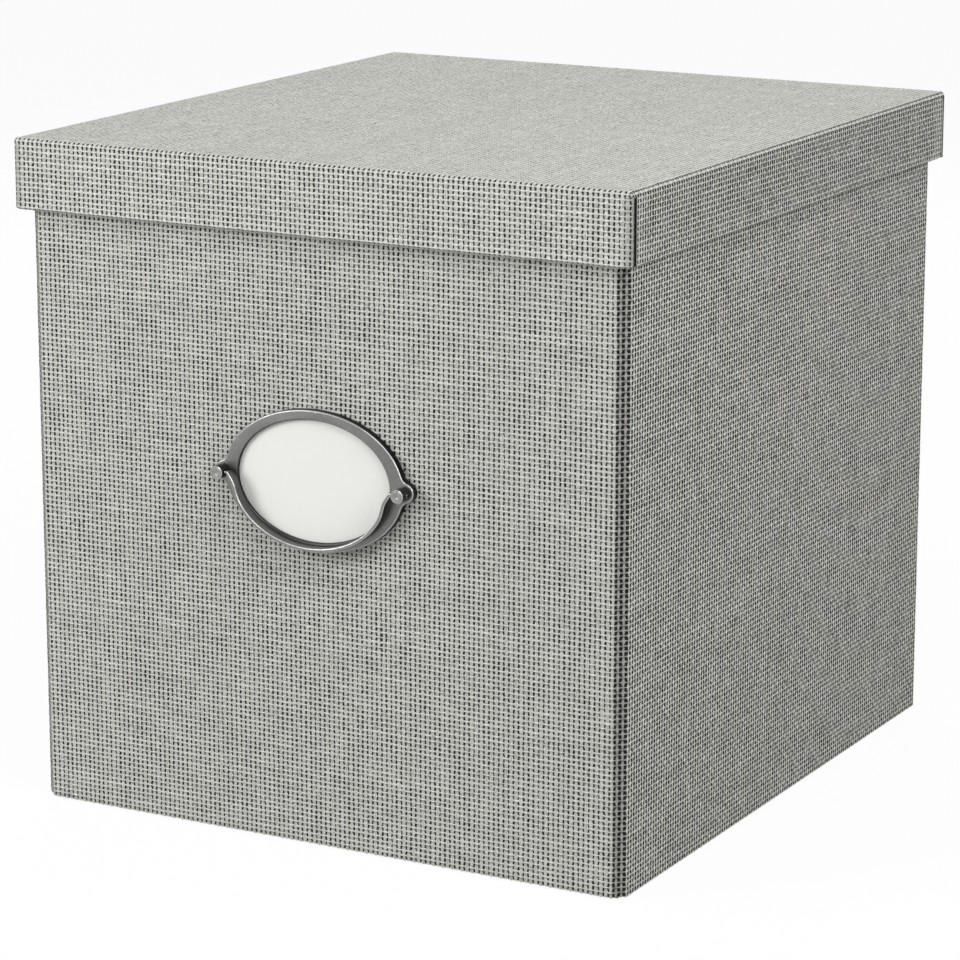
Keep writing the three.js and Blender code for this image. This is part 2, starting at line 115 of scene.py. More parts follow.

# The lid's cloth: rounded ends of the rims, painted light and shade on each part (a lighter top and front
# rim, darker side rims), and its edges
SIDE_PAD_END = 0.9
FRONT_PAD_END = 2.2
END_CLEARANCE = 0.2
END_FLATTENING = 0.75
TOP_PAINTED_LIGHT = -0.015
FRONT_RIM_PAINTED_LIGHT = -0.07
SIDE_RIM_PAINTED_SHADE = 0.07
EDGE_REACH = 1.2
SIDE_EDGE_SLOTS = 1.2
FRONT_EDGE_SLOTS = 0.8
LIP_OVERLAP = 0.4
LIP_RISE = 1.2

# The ends of the lid's rims, as pairs of the value at front and back and the value at the sides; their shades
# are painted
# shade: black in the slits, darker on the rounded ends and near the front rims' corners
CROWDED_REACH = (7.0, 12.0)
CROWDED_SLOTS = -0.75
END_SLOTS = (1.2, 0.0)
END_SHADE = (0.4, 0.2)
SLIT_START = (0.8, 0.45)
SLIT_FADE = 0.2
SLIT_SHADE = 0.99
BACK_SLIT_SHARE = 0.15
CORNER_SHADE = 0.42
CORNER_SHADE_START = 1.15
CORNER_SHADE_REACH = 4.5

# The map for baking: a piece's cloth, then its inner side, then its caps
BAKE_MARGIN = 0.01
BAKE_WIDTH = 0.98
BODY_BAKE_MARGIN = 0.005
CLOTH_BAKE_HEIGHT = 0.93
INNER_BAKE_LOW = 0.935
INNER_BAKE_HEIGHT = 0.01
TOP_BAKE_HEIGHT = 0.92
RIM_BAKE_HEIGHT = 0.9
RIM_BAKE_END = 0.92
CAP_BAKE_LEFT = 0.02
CAP_BAKE_WIDTH = 0.47
CAP_BAKE_STEP = 0.49
CAP_BAKE_LOW = 0.957
CAP_BAKE_HEIGHT = 0.035

# Light: the world's part of it, the floor's tone in reflected light, and how much of the floor glows white
AMBIENT = 0.36
FLOOR_TONE = 0.37
FLOOR_GLOW = 0.93
BOX_MIDDLE = (0.0, 0.0, 0.16)
BOX_UPPER = (0.0, 0.0, 0.2)


# Stage, lights and camera

def new_object(name, mesh):
    """An object for a mesh, in the scene."""
    piece = bpy.data.objects.new(name, mesh)
    bpy.context.scene.collection.objects.link(piece)
    return piece


def make_camera():
    """The camera solved from the corners of the body and lid in the photo."""
    azimuth = math.radians(-28.819)
    down = math.radians(13.757)
    roll = math.radians(0.016)
    ahead = Vector((
        math.sin(azimuth) * math.cos(down),
        math.cos(azimuth) * math.cos(down),
        -math.sin(down),
    ))
    data = bpy.data.cameras.new("camera")
    data.sensor_width = 36.0
    data.lens = 143.684
    data.clip_start = 0.05
    data.clip_end = 60.0
    camera = bpy.data.objects.new("camera", data)
    camera.location = (0.87577, -1.6097, 0.58698)
    camera.rotation_mode = "QUATERNION"
    camera.rotation_quaternion = Quaternion(ahead, roll) @ ahead.to_track_quat("-Z", "Y")
    bpy.context.scene.collection.objects.link(camera)
    bpy.context.scene.camera = camera


def make_lamp(name, place, target, width, power):
    """A square lamp that points at a target."""
    data = bpy.data.lights.new(name, "AREA")
    data.shape = "SQUARE"
    data.size = width
    data.energy = power
    lamp = bpy.data.objects.new(name, data)
    lamp.location = place
    lamp.rotation_mode = "QUATERNION"
    lamp.rotation_quaternion = (Vector(target) - Vector(place)).to_track_quat("-Z", "Y")
    bpy.context.scene.collection.objects.link(lamp)


class Graph:
    """Adds nodes to a node tree, with values or sockets as inputs."""

    def __init__(self, tree):
        self.tree = tree

    def node(self, kind, settings=None, **inputs):
        node = self.tree.nodes.new(kind)
        for key, value in (settings or {}).items():
            setattr(node, key, value)
        for key, value in inputs.items():
            self.feed(node.inputs[key.replace("_", " ")], value)
        return node

    def feed(self, socket, value):
        if isinstance(value, bpy.types.NodeSocket):
            self.tree.links.new(value, socket)
        else:
            socket.default_value = value

    def math(self, operation, *values, clamp=False):
        node = self.tree.nodes.new("ShaderNodeMath")
        node.operation = operation
        node.use_clamp = clamp
        for socket, value in zip(node.inputs, values):
            self.feed(socket, value)
        return node.outputs[0]

    def ramp(self, value, low, high, to_low=0.0, to_high=1.0):
        """A smooth step between low and high."""
        node = self.node("ShaderNodeMapRange", {"interpolation_type": "SMOOTHSTEP"})
        inputs = {"Value": value, "From Min": low, "From Max": high, "To Min": to_low, "To Max": to_high}
        for key, entry in inputs.items():
            self.feed(node.inputs[key], entry)
        return node.outputs["Result"]

    def mix(self, factor, a, b):
        node = self.node("ShaderNodeMix", {"data_type": "RGBA", "clamp_factor": True})
        self.feed(node.inputs[0], factor)
        self.feed(node.inputs[6], a)
        self.feed(node.inputs[7], b)
        return node.outputs[2]

    def float_mix(self, factor, a, b):
        node = self.node("ShaderNodeMix", {"data_type": "FLOAT"})
        self.feed(node.inputs[0], factor)
        self.feed(node.inputs[2], a)
        self.feed(node.inputs[3], b)
        return node.outputs[0]

    def noise(self, vector, scale, detail, roughness=0.5):
        settings = {"Scale": scale, "Detail": detail, "Roughness": roughness}
        return self.node("ShaderNodeTexNoise", Vector=vector, **settings).outputs["Fac"]

    def centred_noise(self, vector, scale, detail):
        """Noise around zero."""
        return self.math("SUBTRACT", self.noise(vector, scale, detail), 0.5)

    def varied(self, tone, noise, contrast):
        """A tone that noise makes darker and lighter."""
        return self.math("MULTIPLY_ADD", self.math("SUBTRACT", noise, 0.5), contrast, tone)

    def random(self, value):
        """A random number for each value."""
        node = self.node("ShaderNodeTexWhiteNoise", {"noise_dimensions": "1D"}, W=value)
        return node.outputs["Value"]

    def scaled(self, vector, size):
        node = self.node("ShaderNodeMapping", Vector=vector, Scale=size)
        return node.outputs["Vector"]

    def vector_math(self, operation, *values):
        node = self.node("ShaderNodeVectorMath", {"operation": operation})
        for socket, value in zip(node.inputs, values):
            self.feed(socket, value)
        return node.outputs

    def times(self, color, factor):
        """A colour multiplied by a number."""
        node = self.node("ShaderNodeVectorMath", {"operation": "SCALE"})
        self.feed(node.inputs[0], color)
        self.feed(node.inputs["Scale"], factor)
        return node.outputs[0]

    def from_whole(self, value):
        """How far a coordinate is from the nearest whole number."""
        fraction = self.math("FRACT", self.math("ADD", value, 0.5))
        return self.math("ABSOLUTE", self.math("SUBTRACT", fraction, 0.5))

    def sign_wave(self, whole):
        """Plus one at even and minus one at odd whole numbers."""
        return self.math("COSINE", self.math("MULTIPLY", whole, math.pi))

    def seen_directly(self):
        """One for camera, mirror and glass rays, and zero for light that falls on matte things."""
        path = self.node("ShaderNodeLightPath").outputs
        seen = self.math("MAXIMUM", path["Is Camera Ray"], path["Is Glossy Ray"])
        return self.math("MAXIMUM", seen, path["Is Transmission Ray"])


def make_stage():
    """A pale floor that keeps a soft shadow and reads white, and a white world."""
    mesh = bpy.data.meshes.new("floor")
    shape = bmesh.new()
    bmesh.ops.create_grid(shape, x_segments=2, y_segments=2, size=20.0)
    shape.to_mesh(mesh)
    shape.free()
    floor = new_object("floor", mesh)
    material = bpy.data.materials.new("floor")
    material.use_nodes = True
    graph = Graph(material.node_tree)
    graph.tree.nodes.clear()
    seen = graph.seen_directly()
    tone = graph.math("MULTIPLY_ADD", seen, 1.0 - FLOOR_TONE, FLOOR_TONE)
    grey = graph.node("ShaderNodeCombineColor", Red=tone, Green=tone, Blue=tone)
    matte = graph.node("ShaderNodeBsdfDiffuse", Color=grey.outputs[0])
    glow = graph.node("ShaderNodeEmission", Color=(1.0, 1.0, 1.0, 1.0), Strength=1.0)
    share = graph.math("MULTIPLY", seen, FLOOR_GLOW)
    shader = graph.node("ShaderNodeMixShader")
    graph.feed(shader.inputs[0], share)
    graph.feed(shader.inputs[1], matte.outputs[0])
    graph.feed(shader.inputs[2], glow.outputs[0])
    output = graph.node("ShaderNodeOutputMaterial")
    graph.feed(output.inputs["Surface"], shader.outputs[0])
    mesh.materials.append(material)

    world = bpy.data.worlds.new("studio")
    world.use_nodes = True
    bpy.context.scene.world = world
    graph = Graph(world.node_tree)
    graph.tree.nodes.clear()
    seen = graph.seen_directly()
    strength = graph.math("MULTIPLY_ADD", seen, 1.0 - AMBIENT, AMBIENT)
    sky = graph.node("ShaderNodeBackground", Color=(1.0, 1.0, 1.0, 1.0), Strength=strength)
    output = graph.node("ShaderNodeOutputWorld")
    graph.feed(output.inputs["Surface"], sky.outputs[0])


make_camera()
make_stage()
make_lamp("key", (-1.3, -1.4, 0.8), BOX_MIDDLE, width=0.9, power=20.0)
make_lamp("overhead", (0.6, -1.3, 2.0), BOX_UPPER, width=0.9, power=10.0)
make_lamp("fill", (1.45, -0.5, 1.05), BOX_MIDDLE, width=0.8, power=13.6)
make_lamp("back", (-0.7, 1.5, 1.1), BOX_MIDDLE, width=0.9, power=8.0)

bpy.context.scene.view_settings.view_transform = "Standard"


# Materials

def new_material(name):
    """A material with its graph and its Principled shader."""
    material = bpy.data.materials.new(name)
    material.use_nodes = True
    graph = Graph(material.node_tree)
    shader = graph.tree.nodes["Principled BSDF"]
    return material, graph, shader


def new_group(name, inputs, outputs):
    """A node group with named inputs and outputs, each given as name and socket kind."""
    tree = bpy.data.node_groups.new(name, "ShaderNodeTree")
    for key, kind in inputs:
        tree.interface.new_socket(name=key, in_out="INPUT", socket_type=kind)
    for key, kind in outputs:
        tree.interface.new_socket(name=key, in_out="OUTPUT", socket_type=kind)
    graph = Graph(tree)
    source = tree.nodes.new("NodeGroupInput")
    sink = tree.nodes.new("NodeGroupOutput")
    return graph, source.outputs, sink.inputs


def use_group(graph, tree, **inputs):
    """The outputs of a node group that is placed in a graph."""
    node = graph.node("ShaderNodeGroup", {"node_tree": tree})
    for key, value in inputs.items():
        graph.feed(node.inputs[key.replace("_", " ")], value)
    return node.outputs


# The weave's colour: gaps and edges are in shares of the spacing of the yarns
GAP_EDGE_ACROSS = (0.165, 0.215)
GAP_EDGE_UP = (0.31, 0.36)
LEVEL_YARN_EDGE = (0.33, 0.37)
BESIDE_GAP_EDGE = (0.16, 0.22)
GAP_LEAN = 0.14
RAGGED_SCALE = 3.1
RAGGED_UP_SCALE = 2.3
RAGGED_UP_STRETCH = (1.3, 0.8, 1.0)
GAP_RAGGEDNESS = 0.16
SLOT_RAGGEDNESS = 0.2
UP_RAGGEDNESS = 0.2
SLUB_STRETCH = (0.9, 0.12, 1.0)
SLUB_SHARE = 0.25
SLOT_WIDENING = -0.12
SLOT_LENGTHENING = -0.03
LEVEL_FIBRE_STRETCH = (1.4, 7.0, 1.0)
UPRIGHT_FIBRE_STRETCH = (6.0, 1.5, 1.0)
FIBRE_ROUGHNESS = 0.6
ROW_TONE_START = 400.5
CLOUD_SCALE = 0.11
YARN_TONE = 0.8
FIBRE_CONTRAST = 1.1
COLUMN_CONTRAST = 0.06
ROW_CONTRAST = 0.07
CLOUD_CONTRAST = 0.05
# Painted light on a yarn over a crossing, and painted shade where it dips under
CROSSING_PAINTED_LIGHT = 0.13
PLAINNESS = 1.5
LEVEL_TONE = 0.13
LEVEL_OVER_TONE = 0.05
# Where slots are wide, painted shade on the level yarns and painted light on the yarns
SLOTTED_LEVEL_PAINTED_SHADE = -0.3
SLOTTED_PAINTED_LIGHT = 0.11
GAP_FLUFF = -0.17
# Less fluff in wide slots, which darkens them as painted shade
SLOT_PAINTED_SHADE = 0.13
FIBRE_RELIEF = 0.35
GAP_RELIEF = -0.6


def plain_weave_group():
    """Colour and height of a plain weave, on a map where each crossing of two yarns is one unit square."""
    graph, given, out = new_group(
        "plain_weave",
        [
            ("Vector", "NodeSocketVector"),
            ("Yarn", "NodeSocketColor"),
            ("Gap", "NodeSocketColor"),
            ("Slot Share", "NodeSocketFloat"),
            ("Shade", "NodeSocketFloat"),
        ],
        [("Color", "NodeSocketColor"), ("Height", "NodeSocketFloat")],
    )
    place = given["Vector"]
    split = graph.node("ShaderNodeSeparateXYZ", Vector=place)
    across, up = split.outputs[0], split.outputs[1]
    # The gap mark: wide slots in the corner strips, and on the side walls painted shade on the yarns' flanks
    # and painted light on the yarns
    wide_slots_and_light = graph.math("MAXIMUM", given["Slot Share"], 0.0)

    # Gaps: each leans a little with the crossings beside it, and its outline is ragged
    near_x = graph.math("ROUND", across)
    near_y = graph.math("ROUND", up)
    lean = graph.math("MULTIPLY", graph.sign_wave(graph.math("ADD", near_x, near_y)), GAP_LEAN)
    lean = graph.math("MULTIPLY", graph.math("SUBTRACT", up, near_y), lean)
    to_gap_x = graph.from_whole(graph.math("ADD", across, lean))
    to_gap_y = graph.from_whole(up)
    ragged = graph.centred_noise(place, RAGGED_SCALE, 2.0)
    ragged_up = graph.centred_noise(graph.scaled(place, RAGGED_UP_STRETCH), RAGGED_UP_SCALE, 2.0)
    slub = graph.centred_noise(graph.scaled(place, SLUB_STRETCH), 1.0, 1.0)
    raggedness = graph.math("MULTIPLY_ADD", wide_slots_and_light, SLOT_RAGGEDNESS, GAP_RAGGEDNESS)
    across_gap = graph.math("MULTIPLY_ADD", ragged, raggedness, to_gap_x)
    across_gap = graph.math("MULTIPLY_ADD", slub, graph.math("MULTIPLY", raggedness, SLUB_SHARE), across_gap)
    across_gap = graph.math("MULTIPLY_ADD", given["Slot Share"], SLOT_WIDENING, across_gap)
    up_gap = graph.math("MULTIPLY_ADD", ragged_up, UP_RAGGEDNESS, to_gap_y)
    up_gap = graph.math("MULTIPLY_ADD", given["Slot Share"], SLOT_LENGTHENING, up_gap)
    open_x = graph.ramp(across_gap, *GAP_EDGE_ACROSS, 1.0, 0.0)
    open_y = graph.ramp(up_gap, *GAP_EDGE_UP, 1.0, 0.0)
    gap = graph.math("MULTIPLY", open_x, open_y)

    # Which yarn is on top: a level yarn is seen between the uprights and at every other crossing
    column = graph.math("FLOOR", across)
    row = graph.math("FLOOR", up)
    parity = graph.math("FRACT", graph.math("MULTIPLY", graph.math("ADD", column, row), 0.5))
    level_over = graph.math("GREATER_THAN", parity, 0.25)
    in_level = graph.ramp(to_gap_y, *LEVEL_YARN_EDGE)
    beside = graph.ramp(to_gap_x, *BESIDE_GAP_EDGE, 1.0, 0.0)
    level_seen = graph.math("MULTIPLY", in_level, graph.math("MAXIMUM", level_over, beside))

    # Tone: fibres along each yarn, uneven yarns, a broad cloudiness, and painted light where a yarn rises
    # over the other and painted shade where it dips under
    along_level = graph.noise(graph.scaled(place, LEVEL_FIBRE_STRETCH), 1.0, 2.0, FIBRE_ROUGHNESS)
    along_upright = graph.noise(graph.scaled(place, UPRIGHT_FIBRE_STRETCH), 1.0, 2.0, FIBRE_ROUGHNESS)
    fibre = graph.float_mix(level_seen, along_upright, along_level)
    tone = graph.varied(YARN_TONE, fibre, FIBRE_CONTRAST)
    tone = graph.varied(tone, graph.random(column), COLUMN_CONTRAST)
    tone = graph.varied(tone, graph.random(graph.math("ADD", row, ROW_TONE_START)), ROW_CONTRAST)
    tone = graph.varied(tone, graph.noise(place, CLOUD_SCALE, 3.0), CLOUD_CONTRAST)
    upright_painted_light = graph.math("SINE", graph.math("MULTIPLY", up, math.pi))
    upright_painted_light = graph.math("MULTIPLY", upright_painted_light, graph.sign_wave(column))
    level_painted_light = graph.math("SINE", graph.math("MULTIPLY", across, math.pi))
    level_painted_light = graph.math("MULTIPLY", level_painted_light, graph.sign_wave(row))
    crossing_painted_tone = graph.float_mix(level_seen, upright_painted_light, graph.math("MULTIPLY", level_painted_light, -1.0))
    tone = graph.math("MULTIPLY_ADD", crossing_painted_tone, CROSSING_PAINTED_LIGHT, tone)
    plainness = graph.math("MULTIPLY", graph.math("ABSOLUTE", given["Slot Share"]), PLAINNESS)
    standing_out = graph.math("SUBTRACT", 1.0, plainness, clamp=True)
    tone = graph.math("MULTIPLY_ADD", graph.math("MULTIPLY", level_seen, standing_out), LEVEL_TONE, tone)
    tone = graph.math("MULTIPLY_ADD", graph.math("MULTIPLY", in_level, level_over), LEVEL_OVER_TONE, tone)
    # Painted light on the yarns and painted shade on the level yarns where slots are wide, as on the side
    # walls
    slotted_light_and_shade = graph.math("MULTIPLY_ADD", level_seen, SLOTTED_LEVEL_PAINTED_SHADE, SLOTTED_PAINTED_LIGHT)
    tone = graph.math("MULTIPLY_ADD", wide_slots_and_light, slotted_light_and_shade, tone)

    # Gaps are painted near black as the shade deep in them, with some fluff in them; wide slots get less
    # fluff, a painted shade
    slot = graph.node("ShaderNodeCombineXYZ", X=near_x, Y=near_y)
    fluff = graph.node("ShaderNodeTexWhiteNoise", {"noise_dimensions": "2D"}, Vector=slot.outputs[0])
    fluff = fluff.outputs["Value"]
    fluffiness = graph.math("MULTIPLY_ADD", wide_slots_and_light, SLOT_PAINTED_SHADE, GAP_FLUFF)
    depth = graph.math("MULTIPLY_ADD", graph.math("MULTIPLY", fluff, fluff), fluffiness, 1.0)
    woven = graph.mix(graph.math("MULTIPLY", gap, depth), graph.times(given["Yarn"], tone), given["Gap"])
    # Shade is painted light and shade: lighter below zero, black at one
    graph.feed(out["Color"], graph.times(woven, graph.math("SUBTRACT", 1.0, given["Shade"])))
    height = graph.math("MULTIPLY_ADD", fibre, FIBRE_RELIEF, graph.math("MULTIPLY", gap, GAP_RELIEF))
    graph.feed(out["Height"], height)
    return graph.tree


# Scale of the broad grain, as a share of the fine grain's
BROAD_GRAIN = 0.06


def grain_group():
    """Fine grain for paper, board and non-woven cloth, in the piece's own space: a colour and a height."""
    graph, given, out = new_group(
        "grain",
        [
            ("Vector", "NodeSocketVector"),
            ("Base", "NodeSocketColor"),
            ("Size", "NodeSocketFloat"),
            ("Contrast", "NodeSocketFloat"),
        ],
        [("Color", "NodeSocketColor"), ("Height", "NodeSocketFloat")],
    )
    place = given["Vector"]
    scale = graph.math("DIVIDE", 1.0, given["Size"])
    fine = graph.noise(place, scale, 4.0, 0.65)
    broad = graph.noise(place, graph.math("MULTIPLY", scale, BROAD_GRAIN), 2.0)
    tone = graph.varied(0.0, fine, given["Contrast"])
    tone = graph.varied(tone, broad, graph.math("MULTIPLY", given["Contrast"], 0.5))
    graph.feed(out["Color"], graph.times(given["Base"], graph.math("ADD", tone, 1.0)))
    graph.feed(out["Height"], fine)
    return graph.tree


PLAIN_WEAVE = plain_weave_group()
GRAIN = grain_group()


def weave_material():
    """The light grey cloth, with its slots and its painted light and shade from the mesh's own marks."""
    material, graph, shader = new_material("light_grey_weave")
    place = graph.node("ShaderNodeUVMap", {"uv_map": LATTICE_MAP}).outputs[0]
    slots_and_painted_light = graph.node("ShaderNodeAttribute", {"attribute_name": SLOTS_AND_PAINTED_LIGHT})
    shade = graph.node("ShaderNodeAttribute", {"attribute_name": SHADE})
    cloth = use_group(
        graph,
        PLAIN_WEAVE,
        Vector=place,
        Yarn=(0.69, 0.69, 0.65, 1.0),
        # The gap colour is painted shade deep in the gaps
        Gap=(0.018, 0.018, 0.016, 1.0),
        Slot_Share=slots_and_painted_light.outputs["Fac"],
        Shade=shade.outputs["Fac"],
    )
    bump = graph.node("ShaderNodeBump", Strength=0.6, Distance=0.25 * MM, Height=cloth["Height"])
    graph.feed(shader.inputs["Base Color"], cloth["Color"])
    graph.feed(shader.inputs["Normal"], bump.outputs[0])
    shader.inputs["Roughness"].default_value = 0.92
    shader.inputs["Specular IOR Level"].default_value = 0.2
    return material


def grained_material(name, base, size, contrast, bump_height, roughness):
    """Matte paper, board, lining or tape."""
    material, graph, shader = new_material(name)
    place = graph.node("ShaderNodeTexCoord").outputs["Object"]
    grain = use_group(graph, GRAIN, Vector=place, Base=base, Size=size, Contrast=contrast)
    bump = graph.node("ShaderNodeBump", Strength=0.5, Distance=bump_height, Height=grain["Height"])
    graph.feed(shader.inputs["Base Color"], grain["Color"])
    graph.feed(shader.inputs["Normal"], bump.outputs[0])
    shader.inputs["Roughness"].default_value = roughness
    shader.inputs["Specular IOR Level"].default_value = 0.25
    return material


# The metal's finish, with painted highlight on edges and painted shade on sides, by how far a surface faces
# the front, one being square to it, and by how far it faces out
PATCH_SCALE = 900.0
PATCHINESS = 0.3
SIDE_FACING = (0.15, 0.5)
EDGE_START = (0.35, 0.6)
EDGE_STOP = (0.86, 0.99)
INNER_FACING = (-0.2, 0.0)
METAL_GRAIN = 0.35
METAL_CONTRAST = 0.45


def metal_painted_light_group():
    """Dark finish of pressed metal: front faces, rounded edges painted bright as highlight, and sides and
    recesses painted dark as shade.
    """
    graph, given, out = new_group(
        "metal_painted_light",
        [
            ("Vector", "NodeSocketVector"),
            ("Normal", "NodeSocketVector"),
            ("Face", "NodeSocketColor"),
            ("Edge", "NodeSocketColor"),
            ("Side", "NodeSocketColor"),
            ("Inner Edge", "NodeSocketColor"),
            ("Inner Side", "NodeSocketColor"),
            ("Wrap", "NodeSocketFloat"),
        ],
        [("Color", "NodeSocketColor"), ("Polish", "NodeSocketFloat")],
    )
    normal = graph.node("ShaderNodeSeparateXYZ", Vector=given["Normal"])
    to_front = graph.math("MULTIPLY", normal.outputs[1], -1.0)
    patchy = graph.centred_noise(given["Vector"], PATCH_SCALE, 3.0)
    facing = graph.math("MULTIPLY_ADD", patchy, PATCHINESS, graph.math("ADD", to_front, given["Wrap"]))
    # Painted shade on sides, and painted highlight on rounded edges
    side = graph.ramp(facing, *SIDE_FACING, 1.0, 0.0)
    edge = graph.math("MULTIPLY", graph.ramp(facing, *EDGE_START), graph.ramp(facing, *EDGE_STOP, 1.0, 0.0))
    holder_middle = (0.0, HOLDER_FRONT * MM, HOLDER_HEIGHT * MM)
    from_middle = graph.vector_math("SUBTRACT", given["Vector"], holder_middle)[0]
    radial = graph.vector_math("NORMALIZE", from_middle)[0]
    outward = graph.vector_math("DOT_PRODUCT", radial, given["Normal"])["Value"]
    # Faces turned toward the holder's middle take their own painted tones
    inner = graph.ramp(outward, *INNER_FACING, 1.0, 0.0)
    edge_tone = graph.mix(inner, given["Edge"], given["Inner Edge"])
    side_tone = graph.mix(inner, given["Side"], given["Inner Side"])
    toned = graph.mix(side, graph.mix(edge, given["Face"], edge_tone), side_tone)
    graph.feed(out["Color"], toned)
    graph.feed(out["Polish"], edge)
    return graph.tree


METAL_PAINTED_LIGHT = metal_painted_light_group()


def metal_material(name, face, edge, side, roughness, inner_edge=None, inner_side=None, wrap=0.0):
    """Satin metal: faint mottling in its tone and roughness, a painted highlight along its edges, which are a
    little smoother, and painted shade on its sides.
    """
    material, graph, shader = new_material(name)
    spot = graph.node("ShaderNodeTexCoord").outputs
    tones_and_light = use_group(
        graph,
        METAL_PAINTED_LIGHT,
        Vector=spot["Object"],
        Normal=spot["Normal"],
        Face=face,
        Edge=edge,
        Side=side,
        Inner_Edge=inner_edge or edge,
        Inner_Side=inner_side or side,
        Wrap=wrap,
    )
    grain = use_group(
        graph,
        GRAIN,
        Vector=spot["Object"],
        Base=tones_and_light["Color"],
        Size=METAL_GRAIN * MM,
        Contrast=METAL_CONTRAST,
    )
    rough = graph.ramp(grain["Height"], 0.2, 0.8, roughness - 0.06, roughness + 0.08)
    rough = graph.math("MULTIPLY_ADD", tones_and_light["Polish"], -0.08, rough)
    bump = graph.node("ShaderNodeBump", Strength=0.35, Distance=0.03 * MM, Height=grain["Height"])
    graph.feed(shader.inputs["Base Color"], grain["Color"])
    graph.feed(shader.inputs["Roughness"], rough)
    graph.feed(shader.inputs["Normal"], bump.outputs[0])
    shader.inputs["Metallic"].default_value = 1.0
    return material


WEAVE = weave_material()
BOARD_GREY = (0.42, 0.39, 0.34, 1.0)
SOFT_GREY = (0.3, 0.3, 0.29, 1.0)
TAPE_BLACK = (0.012, 0.012, 0.012, 1.0)
CARD_WHITE = (0.94, 0.945, 0.91, 1.0)
# Painted shade for the sides of the pewter pieces
PEWTER_PAINTED_SHADE = (0.05, 0.05, 0.048, 1.0)
PEWTER_ROUGHNESS = 0.36

# Plain materials are given by name, colour, grain size, contrast, height of the grain and roughness
FINISH = {
    "board": grained_material("grey_board", BOARD_GREY, 0.5 * MM, 0.3, 0.05 * MM, 0.95),
    "lining": grained_material("grey_lining", SOFT_GREY, 0.35 * MM, 0.35, 0.08 * MM, 0.95),
    "backing_paper": grained_material("backing_paper", SOFT_GREY, 0.25 * MM, 0.2, 0.03 * MM, 0.9),
    "tape": grained_material("black_tape", TAPE_BLACK, 0.4 * MM, 0.4, 0.06 * MM, 0.85),
    "card": grained_material("white_card", CARD_WHITE, 0.2 * MM, 0.04, 0.015 * MM, 0.85),
    # The frame: edges painted lighter as highlight, and sides, inner edge and inner wall painted dark as
    # shade
    "gunmetal": metal_material(
        "pewter_metal",
        face=(0.17, 0.17, 0.165, 1.0),
        edge=(0.37, 0.37, 0.36, 1.0),
        side=PEWTER_PAINTED_SHADE,
        roughness=PEWTER_ROUGHNESS,
        inner_edge=PEWTER_PAINTED_SHADE,
        inner_side=(0.02, 0.02, 0.019, 1.0),
    ),
    # Plated steel: edges painted lighter as highlight and sides darker as shade
    "plated_steel": metal_material(
        "plated_steel",
        face=(0.5, 0.5, 0.49, 1.0),
        edge=(0.6, 0.6, 0.59, 1.0),
        side=(0.4, 0.4, 0.39, 1.0),
        roughness=0.3,
    ),
}
# Pieces whose painted highlight and shade are their own
PIECE_FINISH = {
    "pull_handle": metal_material(
        "pewter_bail",
        face=(0.19, 0.19, 0.185, 1.0),
        edge=(0.45, 0.45, 0.44, 1.0),
        side=PEWTER_PAINTED_SHADE,
        roughness=PEWTER_ROUGHNESS,
        # Painted light on the bail's inner side, lit by the card
        inner_side=(0.15, 0.15, 0.145, 1.0),
    ),
}
for key in ("left_pivot_post", "right_pivot_post"):
    PIECE_FINISH[key] = metal_material(
        f"pewter_{key}",
        face=(0.27, 0.27, 0.26, 1.0),
        edge=(0.42, 0.42, 0.41, 1.0),
        side=PEWTER_PAINTED_SHADE,
        roughness=PEWTER_ROUGHNESS,
        # The wrap widens the painted highlight on the posts' edges
        wrap=0.13,
    )


# Cloth

def rounded_path(corners, radius, side, steps=8):
    """A line folded at its corners, each rounded to the radius.

    It gives the distances along the line, the points, the normals on one side, and the mitres. A mitre is
    the way that a point moves when the line is set in.
    """
    corners = [np.array(c, float) for c in corners]
    points, normals, mitres = [], [], []

    def normal_of(a, b):
        way = (b - a) / np.linalg.norm(b - a)
        return np.array((-way[1], way[0])) * side

    faces = [normal_of(a, b) for a, b in zip(corners, corners[1:])]
    points.append(corners[0])
    normals.append(faces[0])
    mitres.append(-faces[0])
    for before, after, corner, first, last in zip(faces, faces[1:], corners[1:], corners, corners[2:]):
        into = (corner - first) / np.linalg.norm(corner - first)
        out = (last - corner) / np.linalg.norm(last - corner)
        turn = math.acos(np.clip(into @ out, -1, 1))
        reach = radius * math.tan(turn / 2)
        start = corner - into * reach
        bend = 1 if into[0] * out[1] - into[1] * out[0] > 0 else -1
        across = np.array((-into[1], into[0])) * bend
        centre = start + across * radius
        mitre = -(before + after) / (1 + before @ after)
        for i in range(steps + 1):
            angle = turn * i / steps
            spoke = -across * math.cos(angle) + into * math.sin(angle)
            points.append(centre + spoke * radius)
            normals.append(spoke * (1 if spoke @ (before + after) > 0 else -1))
            mitres.append(mitre)
    points.append(corners[-1])
    normals.append(faces[-1])
    mitres.append(-faces[-1])
    points = np.array(points)
    far = np.concatenate([[0.0], np.cumsum(np.linalg.norm(np.diff(points, axis=0), axis=1))])
    return {"far": far, "point": points, "normal": np.array(normals), "mitre": np.array(mitres)}


def along(path, key, distance):
    """The path's point, normal or mitre at distances along it."""
    return np.stack([np.interp(distance, path["far"], path[key][:, i]) for i in (0, 1)], axis=-1)


def yarn_lines(low, high, half, end_half=None):
    """Mesh lines from one gap of the lattice to another, by way of the edge, crest and edge of each yarn."""
    where, crest = [float(low)], [False]
    for k in range(int(low), int(high)):
        wide = end_half if end_half and k in (int(low), int(high) - 1) else half
        where += [k + 0.5 - wide, k + 0.5, k + 0.5 + wide]
        crest += [False, True, False]
    return np.array(where + [float(high)]), np.array(crest + [False])


